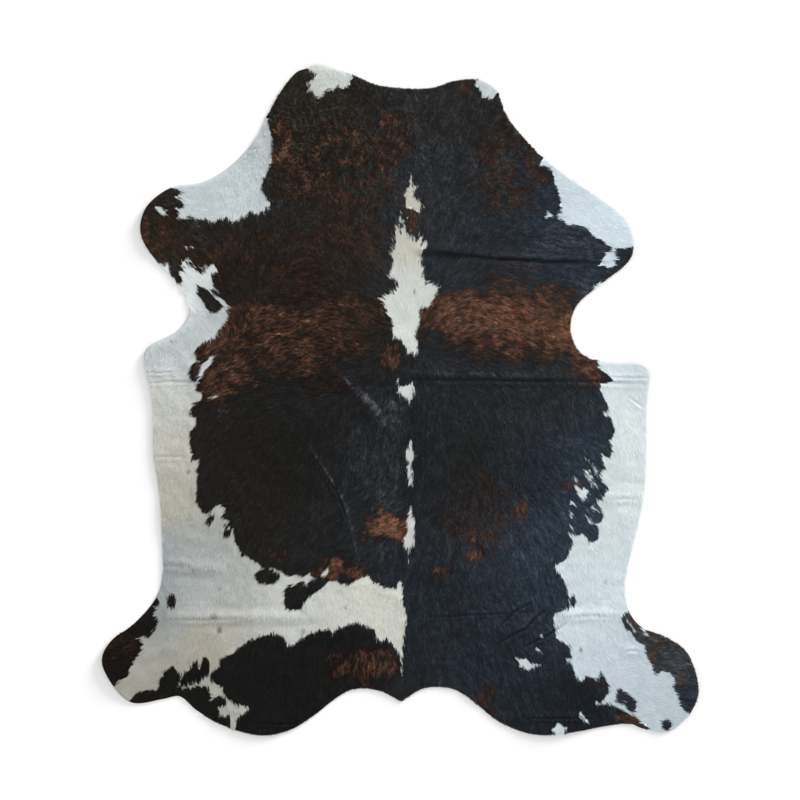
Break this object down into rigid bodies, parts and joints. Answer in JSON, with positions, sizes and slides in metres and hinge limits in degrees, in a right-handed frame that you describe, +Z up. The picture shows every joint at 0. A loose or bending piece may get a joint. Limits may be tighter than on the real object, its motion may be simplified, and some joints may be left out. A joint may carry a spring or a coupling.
{
  "type": "cowhide rug",
  "caption": "Whole tanned cattle hide with its hair on, trimmed along the natural outline of neck, legs and rump, lying flat as a floor rug with soft storage creases.",
  "frame": {"origin": "on the floor under the middle of the hide's bounding box", "axes": "+Z up out of the hair side, +Y along the spine towards the neck, +X to the right seen from above with the neck away from the viewer"},
  "size_m": [1.8614, 2.0939, 0.0144],
  "materials": {
    "hair_on_hide": "short lying hair with a soft sheen, nearly black with rust-brown brindle and white patches",
    "white_hair": "short lying white hair with a soft sheen",
    "brown_hair": "short lying rust-brown hair with a soft sheen"
  },
  "bodies": {
    "root": {"hide": "hair_on_hide"}
  },
  "joints": []
}
